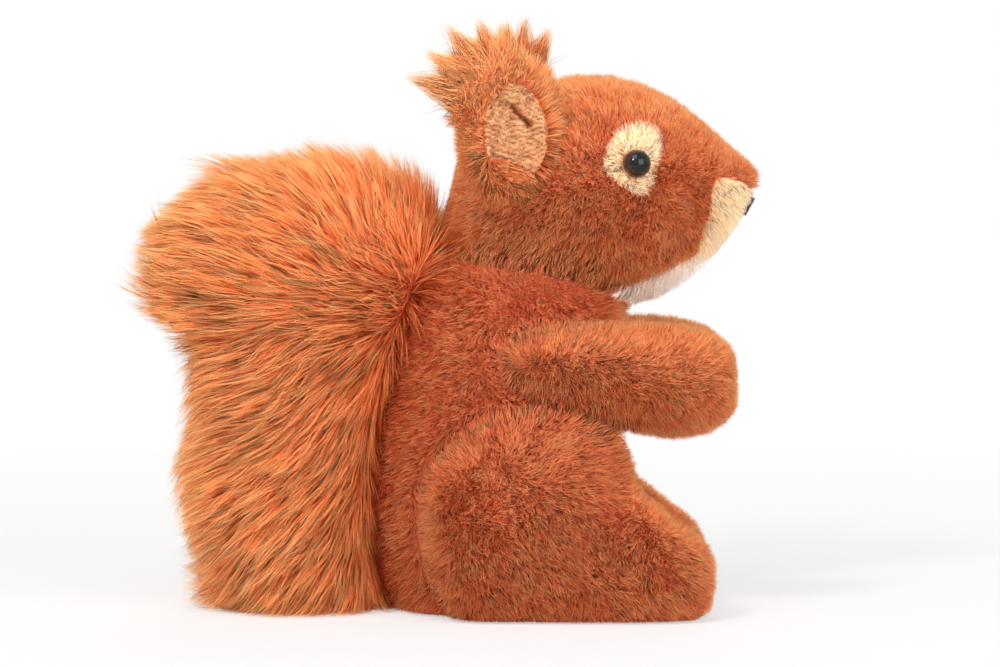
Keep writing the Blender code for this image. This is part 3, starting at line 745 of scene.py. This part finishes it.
def tail_coat(count, seed, length, spacing, lean, width, segments, lift, proud, draw_in, sway):
    """Long combed hair in locks this far apart, that ends this proud of the solid. Each hair is drawn in to its
    lock and sways on its way."""
    roots = clear_of(tail_skin.scatter(count, seed), ["torso", "head"], TOUCH)
    root = roots["root"]
    normal = roots["normal"]
    rng = np.random.default_rng(seed)
    amount = len(root)
    lead, owner = gather(root, spacing, seed)
    flow = unit(along_skin(tail_comb(root), normal))
    stray = 0.20 * noise_field(root, 9 * MM, seed + 3) + 0.10 * rng.normal(size=(amount, 3))
    own = unit(normal + flow * lean + stray)
    lock_turn = rng.normal(size=(owner.max() + 1, 3))[owner]
    shared = unit(own[lead] + 0.13 * lock_turn)
    # Against the back, below the curl, the hair is pressed short and swept behind
    front = ease(normal[:, 0] / 0.6) * ease((125 * MM - root[:, 2]) / (20 * MM))
    aim = unit(0.55 * own + 0.45 * shared - front[:, None] * np.array([0.30, 0, 0]))
    lock_long = rng.random(owner.max() + 1)[owner]
    long = length * (0.74 + 0.26 * lock_long + 0.26 * rng.random(amount))
    low_back = ease((-root[:, 0] - 78 * MM) / (14 * MM)) * ease((52 * MM - root[:, 2]) / (30 * MM))
    long *= (1 - 0.25 * front) * (1 - 0.45 * low_back)
    rise = long * np.maximum(np.sum(aim * normal, axis=1), 0.05)
    long *= np.minimum(1, (TAIL_INSET + proud) / rise)
    bend = (root[lead] - root) * draw_in + flow * (0.20 * long)[:, None]
    bend += np.array([0, 0, -0.06]) * long[:, None] + lock_turn * (0.05 * long)[:, None]
    across = unit(np.cross(flow, normal))
    wave = across * (1.6 * sway * long * noise(root, 9 * MM, seed + 21))[:, None]
    # Golden towards the outer edge, redder by the crease at the back
    outer = np.clip(np.linalg.norm((root - TAIL_WHORL)[:, [0, 2]], axis=1) / (95 * MM), 0, 1)
    tone = 0.30 + lift + 0.34 * outer + 0.18 * (lock_long - 0.5) + 0.14 * noise(root, 11 * MM, seed + 7)
    tone += 0.10 * rng.normal(size=amount)
    wide = width * (WIDTH_LEAST + WIDTH_RANGE * rng.random(amount))
    coat = blades(
        root, normal, aim, long, wide, bend, tone, segments, seed + 9, taper=0.65, soft=0.27, wave=wave
    )
    # Painted shade: beside the back the hair takes the ramp's dark first stop
    fold = bell(distance_to("torso", root), 4.0 * MM)
    coat["uv"][:, 1] *= np.repeat(1 - 0.75 * fold, 2 * segments + 1)
    return coat


tail_under = tail_coat(
    count=42000,
    seed=81,
    length=15 * MM,
    spacing=2.8 * MM,
    lean=1.1,
    width=0.38 * MM,
    segments=2,
    lift=-0.06,
    proud=-1.5 * MM,
    draw_in=0.3,
    sway=0.0,
)
tail_over = tail_coat(
    count=25500,
    seed=82,
    length=22 * MM,
    spacing=3.6 * MM,
    lean=1.30,
    width=0.31 * MM,
    segments=4,
    lift=0.02,
    proud=1.2 * MM,
    draw_in=0.4,
    sway=0.10,
)
build("tail_undercoat", [tail_skin.patch(0), tail_under], TAIL_PILE, ["tail"])
build("tail_locks", [tail_over], TAIL_PILE, [])


# Ears
EAR_HALF_WIDTH = 17.5 * MM
EAR_HALF_HEIGHT = 23.0 * MM
EAR_BLADES = 21000
# Ends of the fold, which is grooved into the lining and darkened with painted shade, and middle of the lower lobe,
# to the back and up from the ear's middle
FOLD = (np.array([0.3, 8.5]) * MM, np.array([-5.2, 2.0]) * MM)
LOBE = np.array([3.6, -14.0]) * MM


def fold_distance(flat):
    """How far points of the ear's plane lie from the fold in its lining."""
    start, end = FOLD
    line = end - start
    share = np.clip(((flat - start) @ line) / (line @ line), 0, 1)
    return np.linalg.norm(flat - start - share[:, None] * line, axis=1)


def lobe_share(flat):
    """1 in the middle of the ear's rolled lower lobe, and 0 outside it."""
    away = flat - LOBE
    along = away @ np.array([0.88, 0.47])
    across = away @ np.array([-0.47, 0.88])
    return ease(1.6 * (1 - np.hypot(along / (13.0 * MM), across / (6.6 * MM))))


def boucle(flat, points, seed):
    """The lining's curls, from -1 to 1: knots strung along wavering rows that slant over the cup."""
    waver = 1.1 * MM * noise(points, 3.5 * MM, seed + 4)
    row = (flat[:, 1] - 0.45 * flat[:, 0] + waver) / (1.7 * MM)
    tangle = 0.65 * noise(points, 1.6 * MM, seed + 12) + 0.20 * noise(points, 0.5 * MM, seed)
    return 0.45 * np.sin(math.tau * row) + tangle


def ear_pieces(side, seed):
    """The ear with its tuft, and the curly lining in its cup."""
    found = EARS[side]
    out = found["axes"][2]
    skin = Skin([side + "_ear", side + "_ear_lining"], 0.7 * MM, 8, [2.2 * MM, 1.0 * MM])
    local = ear_local(found, skin.outer)
    # The solid's own locks give way to the tuft's hairs
    skin.drop(np.hypot(local[:, 0] / EAR_HALF_WIDTH, local[:, 1] / EAR_HALF_HEIGHT) > 1.10)
    # Where the cup is thin, the side against the head stays behind the one in sight
    behind = skin.normals @ out < -0.1
    skin.inner[behind] = skin.outer[behind]
    # The cup's lower edge rolls forward over the lining
    lobe = lobe_share(local[:, :2]) * (local[:, 2] > -3 * MM)
    lining = skin.away.argmin(1) == 1
    rise = 4.6 * MM * np.where(lining, 1.0, 0.5) * lobe
    groove = bell(fold_distance(local[:, :2]), 0.8 * MM) * lining
    knots = boucle(local[:, :2], skin.outer, seed) * lining * (1 - lobe)
    skin.inner += out * (rise - 2.6 * MM * groove + 1.05 * MM * knots)[:, None]
    skin.away[lobe > 0.45] = (0, 1)
    roots = skin.scatter(EAR_BLADES, seed)
    local = ear_local(found, roots["outer"])
    hidden = (distance_to("head", roots["outer"]) < 0.25 * MM) & (local[:, 2] < -4 * MM)
    roots = thin_out(roots, ~hidden)
    shell = thin_out(roots, roots["label"] == 0)
    flat = ear_local(found, shell["outer"])
    outward = unit(flat * np.array([1, 1, 0])) @ found["axes"]
    low = np.clip(-flat[:, 1] / EAR_HALF_HEIGHT, 0, 1)
    curl = lobe_share(flat[:, :2])
    reach = 4.6 * MM * (1 - 0.5 * curl)
    # Outwards from the cup, but down and forward over the lobe
    comb = outward * (1 - curl)[:, None] + (np.array([-0.9, -0.8, 0]) @ found["axes"]) * curl[:, None]
    comb += np.array([0, 0, 0.3])
    coat = short_pile(shell, seed + 1, reach, comb, 0.6, 0.36 * MM, 0.25 - 0.28 * low)
    tuft = tuft_hairs(found, seed + 2)
    build(side + "_ear_pile", [skin.patch(0), coat, *tuft], AMBER_PILE, [side + "_ear"])
    wool = skin.patch(1, turned=True)
    flat = ear_local(found, wool["points"])
    # Painted shade: the lining darkens in the fold, along the edge of the rolled lobe and between its knots, whose
    # tops are paler
    near = bell(fold_distance(flat[:, :2]), 0.95 * MM)
    edge = 1 - ease(np.abs(lobe_share(flat[:, :2]) - 0.2) / 0.2)
    knots = boucle(flat[:, :2], wool["points"] + skin.normals[wool["used"]] * MM, seed)
    wool["uv"][:, 0] = 0.45 + 0.45 * knots - 0.5 * near - 0.4 * edge
    wool["uv"][:, 1] = 0.50 + 0.45 * knots - 0.7 * near - 0.5 * edge
    curls = thin_out(roots, (roots["label"] == 1) & (np.arange(len(roots["label"])) % 2 == 0))
    fuzz = lining_fuzz(found, curls, seed)
    build(side + "_ear_curls", [wool, fuzz], FAWN_PILE, [side + "_ear_lining"])


def lining_fuzz(found, curls, seed):
    """Short bent hairs on the lining's knots."""
    flat = ear_local(found, curls["outer"])
    rng = np.random.default_rng(seed + 3)
    count = len(flat)
    near = bell(fold_distance(flat[:, :2]), 0.95 * MM)
    knots = boucle(flat[:, :2], curls["outer"], seed)
    aim = unit(curls["normal"] + 0.9 * noise_field(curls["outer"], 1.2 * MM, seed + 5))
    long = 1.1 * MM * (1 - 0.8 * near) * (WIDTH_LEAST + WIDTH_RANGE * rng.random(count))
    bend = 0.9 * MM * noise_field(curls["outer"], 0.8 * MM, seed + 8)
    bend -= curls["normal"] * (0.5 * long)[:, None]
    # Painted shade: the hairs darken in the fold and between the knots, and are paler on the knots' tops
    tone = 0.60 + 0.30 * knots - 0.6 * near + 0.10 * rng.normal(size=count)
    wide = np.full(count, 0.30 * MM)
    fuzz = blades(curls["root"], curls["normal"], aim, long, wide, bend, tone, 2, seed + 9)
    share = 0.35 + 0.35 * knots - 0.7 * near
    fuzz["uv"][:, 1] = np.clip(fuzz["uv"][:, 1] * 0.4 + np.repeat(share, 5), 0.02, 1)
    return fuzz


def tuft_hairs(found, seed):
    """The long hair behind the ear's rim: pointed locks that run out past where the solid's locks end."""
    rng = np.random.default_rng(seed)
    axes = found["axes"]
    main = list(zip(found["tip_angle"], found["tip_reach"], found["tip_out"]))
    minor = []
    for a, b in zip(main, main[1:]):
        minor.append(((a[0] + b[0]) / 2, 0.84 * (a[1] + b[1]) / 2, (a[2] + b[2]) / 2))
    coats = []
    for number, (angle, reach, out) in enumerate(main + minor):
        count = 800 if number < len(main) else 300
        reach *= 1.20 - 0.10 * rng.random()
        # Hairs that end short of the tip lie off the lock's middle, so that it comes to a point
        end = 0.46 + 0.54 * rng.random(count) ** 0.8
        spare = (1.05 - end) * 19 * MM
        turn = angle + rng.normal(size=count) * 0.02
        far = reach * end
        tip = np.stack([far * np.sin(turn), far * np.cos(turn), out * end], axis=1)
        tip += rng.normal(size=(count, 3)) * spare[:, None] * 0.40
        # The feet stand in the upper part of the cup's back
        foot_turn = 0.85 * angle + 0.24 * rng.normal(size=count)
        depth = 0.55 + 0.38 * rng.random(count)
        back = depth * EAR_HALF_WIDTH * np.sin(foot_turn)
        up = depth * EAR_HALF_HEIGHT * np.cos(foot_turn)
        level = -4.0 * MM + 3.5 * MM * rng.random(count) * (depth > 0.75)
        foot = np.stack([back, up, level], axis=1)
        straight = tip - foot
        long = np.linalg.norm(straight, axis=1)
        spread = 0.30 * unit(foot * np.array([1, 1, 0])) + 0.05 * rng.normal(size=(count, 3))
        start = unit(unit(straight) + spread)
        bend = straight - start * long[:, None]
        tone = 0.66 + 0.22 * (rng.random() - 0.5) + 0.16 * rng.normal(size=count)
        shade = unit(foot * np.array([0.6, 0.6, 0]) + np.array([0, 0, 0.02])) @ axes
        root = ear_world(found, foot)
        aim = start @ axes
        wide = np.full(count, 0.29 * MM)
        lock = blades(
            root, shade, aim, long, wide, bend @ axes, tone, 3, seed + 5 + number, taper=0.6, soft=0.2
        )
        coats.append(lock)
    return coats


ear_pieces("right", 91)
ear_pieces("left", 95)


# Eyes
def plain_material(name, colour, roughness, shine=0.5, coat=0.0, bump=0.0, scale=900.0):
    """A Principled surface with fine mottling of its colour and, where wanted, its relief."""
    material = bpy.data.materials.new(name)
    material.use_nodes = True
    tree = material.node_tree
    shader = tree.nodes["Principled BSDF"]
    shader.inputs["Roughness"].default_value = roughness
    shader.inputs["Coat Weight"].default_value = coat
    shader.inputs["Coat Roughness"].default_value = 0.03
    shader.inputs["Specular IOR Level"].default_value = shine
    place = tree.nodes.new("ShaderNodeTexCoord")
    grain = tree.nodes.new("ShaderNodeTexNoise")
    grain.inputs["Scale"].default_value = scale
    grain.inputs["Detail"].default_value = 3.0
    tree.links.new(place.outputs["Object"], grain.inputs["Vector"])
    low = tuple(0.7 * channel for channel in colour)
    high = tuple(1.25 * channel for channel in colour)
    tree.links.new(ramp(tree, grain.outputs["Fac"], [(0.35, low), (0.65, high)]), shader.inputs["Base Color"])
    if bump:
        relief = tree.nodes.new("ShaderNodeBump")
        relief.inputs["Strength"].default_value = bump
        relief.inputs["Distance"].default_value = 0.1 * MM
        tree.links.new(grain.outputs["Fac"], relief.inputs["Height"])
        tree.links.new(relief.outputs["Normal"], shader.inputs["Normal"])
    return material


def mesh_piece(name, shape, materials, nodes):
    """A hard piece of the object from this shape, in place of these CAD nodes."""
    mesh = bpy.data.meshes.new(name)
    bmesh.ops.recalc_face_normals(shape, faces=shape.faces)
    shape.to_mesh(mesh)
    shape.free()
    mesh.shade_smooth()
    for material in materials:
        mesh.materials.append(material)
    obj = bpy.data.objects.new(name, mesh)
    bpy.context.scene.collection.objects.link(obj)
    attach(obj, "root")
    if nodes:
        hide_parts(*nodes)


def repaint(name, material):
    """Gives a CAD node this material alone."""
    NODES[name].data.materials.clear()
    NODES[name].data.materials.append(material)


EYE_BLACK = plain_material("eye_pupil", (0.004, 0.003, 0.003), 0.05, 0.35)
EYE_BROWN = plain_material("eye_iris", (0.045, 0.015, 0.006), 0.08, 0.35, scale=1500.0)
WASHER_PLASTIC = plain_material("washer_plastic", (0.80, 0.79, 0.76), 0.42, bump=0.2)
EYE_SIDES = 48
PUPIL_RINGS = 7


def eye_piece(side):
    """A domed eye on its stem: black pupil, dark brown rim, polished."""
    washer, _, _, axis = principal(side + "_eye_washer")
    if axis[1] * SIDES[side] < 0:
        axis = -axis
    points, _, _ = arrays(NODES[side + "_eye"].data)
    level = (points - washer) @ axis
    away = np.linalg.norm(points - washer - level[:, None] * axis, axis=1)
    radius = away.max()
    rim = level[away > 0.98 * radius].max()
    top = level.max()
    foot = level.min()
    stem = away[level < rim - 3 * MM].max()
    dome = []
    for step in range(15):
        turn = math.pi / 2 * step / 14
        dome.append((radius * math.sin(turn), rim + (top - rim) * math.cos(turn)))
    edge = [(radius, rim - 0.5 * MM), (0.93 * radius, rim - 1.4 * MM), (0.6 * radius, rim - 2.4 * MM)]
    profile = dome + edge + [(stem, rim - 2.5 * MM), (stem, foot), (0.0, foot)]
    across = unit(np.cross(axis, [0, 0, 1.0]))
    up = np.cross(axis, across)
    around = []
    for k in range(EYE_SIDES):
        turn = math.tau * k / EYE_SIDES
        around.append(math.cos(turn) * across + math.sin(turn) * up)
    shape = bmesh.new()
    rings = []
    for reach, height in profile:
        middle = washer + axis * height
        if reach == 0.0:
            rings.append([shape.verts.new(middle)])
        else:
            rings.append([shape.verts.new(middle + reach * way) for way in around])
    for number, (before, after) in enumerate(zip(rings, rings[1:])):
        for k in range(EYE_SIDES):
            following = (k + 1) % EYE_SIDES
            if len(before) == 1:
                face = shape.faces.new((before[0], after[k], after[following]))
            elif len(after) == 1:
                face = shape.faces.new((before[k], after[0], before[following]))
            else:
                face = shape.faces.new((before[k], after[k], after[following], before[following]))
            face.material_index = 0 if number < PUPIL_RINGS else 1
    mesh_piece(side + "_eye_dome", shape, [EYE_BLACK, EYE_BROWN], [side + "_eye"])


for side in SIDES:
    eye_piece(side)
    repaint(side + "_eye_washer", WASHER_PLASTIC)

# Nose, a pad of satin stitches laid across
NOSE_THREAD = plain_material("nose_thread", (0.022, 0.014, 0.012), 0.38, coat=0.2, bump=0.6, scale=2600.0)
STITCHES = 17
THREAD_SIDES = 7


def nose_piece():
    """The stitches, each a thread that follows the nose's front from one side to the other."""
    points, _, _ = arrays(NODES["nose"].data)
    tree = tree_of("nose")
    low, high = points.min(0), points.max(0)
    around = []
    for k in range(THREAD_SIDES):
        turn = math.tau * k / THREAD_SIDES
        around.append(np.array([0.8 * math.cos(turn), 0, math.sin(turn)]))
    shape = bmesh.new()
    for number in range(STITCHES):
        level = low[2] + (high[2] - low[2]) * (number + 0.5) / STITCHES
        path = []
        for step in range(25):
            y = high[1] * (step / 12 - 1)
            hit = tree.ray_cast(Vector((high[0] + 0.05, y, level)), Vector((-1, 0, 0)))
            if hit[0] is not None:
                path.append(np.array(hit[0]))
        if len(path) < 3:
            continue
        path = np.array(path)
        path = path[np.linspace(0, len(path) - 1, 11).astype(int)]
        rings = []
        for index, spot in enumerate(path):
            share = index / 10
            arch = math.sin(math.pi * share)
            swell = 0.38 * MM * (0.45 + 0.55 * arch) * (0.94 + 0.12 * (number % 2))
            centre = spot + np.array([0.1 + 0.3 * arch, 0, 0.05 * math.sin(3 * share + number)]) * MM
            rings.append([shape.verts.new(centre + swell * way) for way in around])
        for before, after in zip(rings, rings[1:]):
            for k in range(THREAD_SIDES):
                following = (k + 1) % THREAD_SIDES
                shape.faces.new((before[k], before[following], after[following], after[k]))
        shape.faces.new(rings[0])
        shape.faces.new(rings[-1])
    mesh_piece("nose_stitches", shape, [NOSE_THREAD], [])


nose_piece()
repaint("nose", NOSE_THREAD)

# Camera, at the photograph's place
camera_data = bpy.data.cameras.new("camera")
camera_data.lens = 140.4
camera_data.sensor_width = 36.0
camera_data.clip_end = 20
camera = bpy.data.objects.new("camera", camera_data)
bpy.context.scene.collection.objects.link(camera)
tilt = math.radians(2.7)
target = Vector((10 * MM, 0, 91.8 * MM))
camera.location = target + Vector((0, -1.3 * math.cos(tilt), 1.3 * math.sin(tilt)))
camera.rotation_euler = (math.radians(90) - tilt, 0, 0)
bpy.context.scene.camera = camera


def lamp(name, place, size, power):
    """An area lamp that looks at the object's middle."""
    data = bpy.data.lights.new(name, "AREA")
    data.energy = power
    data.size = size
    obj = bpy.data.objects.new(name, data)
    obj.location = place
    obj.rotation_euler = (Vector((0, 0, 0.08)) - Vector(place)).to_track_quat("-Z", "Y").to_euler()
    bpy.context.scene.collection.objects.link(obj)


lamp("key", (-0.25, -0.95, 1.55), 0.9, 9.5)
lamp("front", (-0.50, -1.10, 0.95), 0.24, 8)
lamp("fill", (1.1, -1.4, 0.65), 1.2, 14)
lamp("back", (0.1, 1.3, 1.2), 1.0, 7.5)

# Surroundings: white to the camera, dimmer as light on the object
world = bpy.data.worlds.new("studio")
bpy.context.scene.world = world
world.use_nodes = True
tree = world.node_tree
tree.nodes.clear()
path = tree.nodes.new("ShaderNodeLightPath")
seen = tree.nodes.new("ShaderNodeMath")
seen.operation = "MAXIMUM"
tree.links.new(path.outputs["Is Camera Ray"], seen.inputs[0])
tree.links.new(path.outputs["Is Glossy Ray"], seen.inputs[1])
clear = tree.nodes.new("ShaderNodeMath")
clear.operation = "MAXIMUM"
tree.links.new(seen.outputs[0], clear.inputs[0])
tree.links.new(path.outputs["Is Transmission Ray"], clear.inputs[1])
ambient = tree.nodes.new("ShaderNodeBackground")
ambient.inputs["Color"].default_value = (1, 1, 1, 1)
ambient.inputs["Strength"].default_value = 0.41
shown = tree.nodes.new("ShaderNodeBackground")
shown.inputs["Color"].default_value = (1, 1, 1, 1)
shown.inputs["Strength"].default_value = 1.0
choice = tree.nodes.new("ShaderNodeMixShader")
tree.links.new(clear.outputs[0], choice.inputs["Fac"])
tree.links.new(ambient.outputs[0], choice.inputs[1])
tree.links.new(shown.outputs[0], choice.inputs[2])
out = tree.nodes.new("ShaderNodeOutputWorld")
tree.links.new(choice.outputs[0], out.inputs["Surface"])

# Floor, which fades to white for the camera
floor_mesh = bpy.data.meshes.new("floor")
shape = bmesh.new()
bmesh.ops.create_grid(shape, x_segments=1, y_segments=1, size=4)
shape.to_mesh(floor_mesh)
shape.free()
floor = bpy.data.objects.new("floor", floor_mesh)
bpy.context.scene.collection.objects.link(floor)
floor_paint = bpy.data.materials.new("floor")
floor_paint.use_nodes = True
tree = floor_paint.node_tree
tree.nodes.clear()
paint = tree.nodes.new("ShaderNodeBsdfDiffuse")
paint.inputs["Color"].default_value = (0.90, 0.885, 0.88, 1)
glow = tree.nodes.new("ShaderNodeEmission")
glow.inputs["Strength"].default_value = 1.0
path = tree.nodes.new("ShaderNodeLightPath")
share = tree.nodes.new("ShaderNodeMath")
share.operation = "MULTIPLY"
spot = tree.nodes.new("ShaderNodeTexCoord")
reach = tree.nodes.new("ShaderNodeVectorMath")
reach.operation = "LENGTH"
fade = tree.nodes.new("ShaderNodeMapRange")
fade.inputs["From Min"].default_value = 0.22
fade.inputs["From Max"].default_value = 0.75
fade.inputs["To Min"].default_value = 0.55
fade.inputs["To Max"].default_value = 1.0
tree.links.new(spot.outputs["Object"], reach.inputs[0])
tree.links.new(reach.outputs["Value"], fade.inputs["Value"])
tree.links.new(fade.outputs["Result"], share.inputs[1])
tree.links.new(path.outputs["Is Camera Ray"], share.inputs[0])
choice = tree.nodes.new("ShaderNodeMixShader")
tree.links.new(share.outputs[0], choice.inputs["Fac"])
tree.links.new(paint.outputs[0], choice.inputs[1])
tree.links.new(glow.outputs[0], choice.inputs[2])
out = tree.nodes.new("ShaderNodeOutputMaterial")
tree.links.new(choice.outputs[0], out.inputs["Surface"])
floor_mesh.materials.append(floor_paint)

bpy.context.scene.view_settings.view_transform = "Standard"
